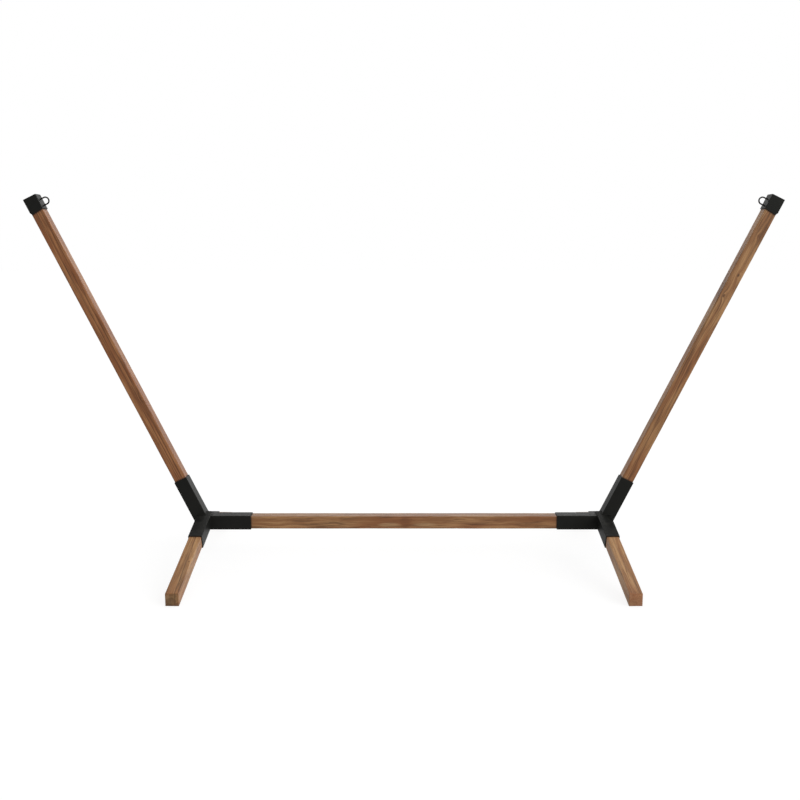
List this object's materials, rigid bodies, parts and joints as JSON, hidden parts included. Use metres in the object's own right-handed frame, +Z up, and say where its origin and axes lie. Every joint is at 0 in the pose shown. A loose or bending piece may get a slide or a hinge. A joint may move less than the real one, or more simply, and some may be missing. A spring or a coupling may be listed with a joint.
{
  "type": "hammock stand",
  "caption": "Timber hammock stand: raised centre bar, outward-leaning arms with rod loops, and splayed legs in welded steel socket brackets.",
  "frame": {"origin": "on the floor, under the middle of the centre bar", "axes": "+X along the centre bar, +Y to the rear, +Z up"},
  "size_m": [3.1368, 1.135, 1.5671],
  "materials": {
    "bar_wood": "oiled brown hardwood, satin",
    "arm_wood": "oiled brown hardwood, satin",
    "leg_wood": "oiled brown hardwood, satin",
    "black_steel": "matte black powder coat",
    "loop_steel": "satin black coating",
    "fixings": "black zinc plate"
  },
  "bodies": {
    "root": {"centre_bar": "bar_wood", "arm_left": "arm_wood", "arm_right": "arm_wood", "leg_front_left": "leg_wood", "leg_front_right": "leg_wood", "leg_rear_left": "leg_wood", "leg_rear_right": "leg_wood", "bracket_left": "black_steel", "bracket_right": "black_steel", "end_cap_left": "black_steel", "end_cap_right": "black_steel", "hammock_loop_left": "loop_steel", "hammock_loop_right": "loop_steel", "loop_nut_lower_left": "fixings", "loop_nut_lower_right": "fixings", "loop_nut_upper_left": "fixings", "loop_nut_upper_right": "fixings", "loop_washer_lower_left": "fixings", "loop_washer_lower_right": "fixings", "loop_washer_upper_left": "fixings", "loop_washer_upper_right": "fixings", "screw_arm_left_1": "fixings", "screw_arm_left_2": "fixings", "screw_arm_right_1": "fixings", "screw_arm_right_2": "fixings", "screw_bar_left_1": "fixings", "screw_bar_left_2": "fixings", "screw_bar_right_1": "fixings", "screw_bar_right_2": "fixings", "screw_leg_front_left_1": "fixings", "screw_leg_front_left_2": "fixings", "screw_leg_front_right_1": "fixings", "screw_leg_front_right_2": "fixings", "screw_leg_rear_left_1": "fixings", "screw_leg_rear_left_2": "fixings", "screw_leg_rear_right_1": "fixings", "screw_leg_rear_right_2": "fixings"}
  },
  "joints": []
}
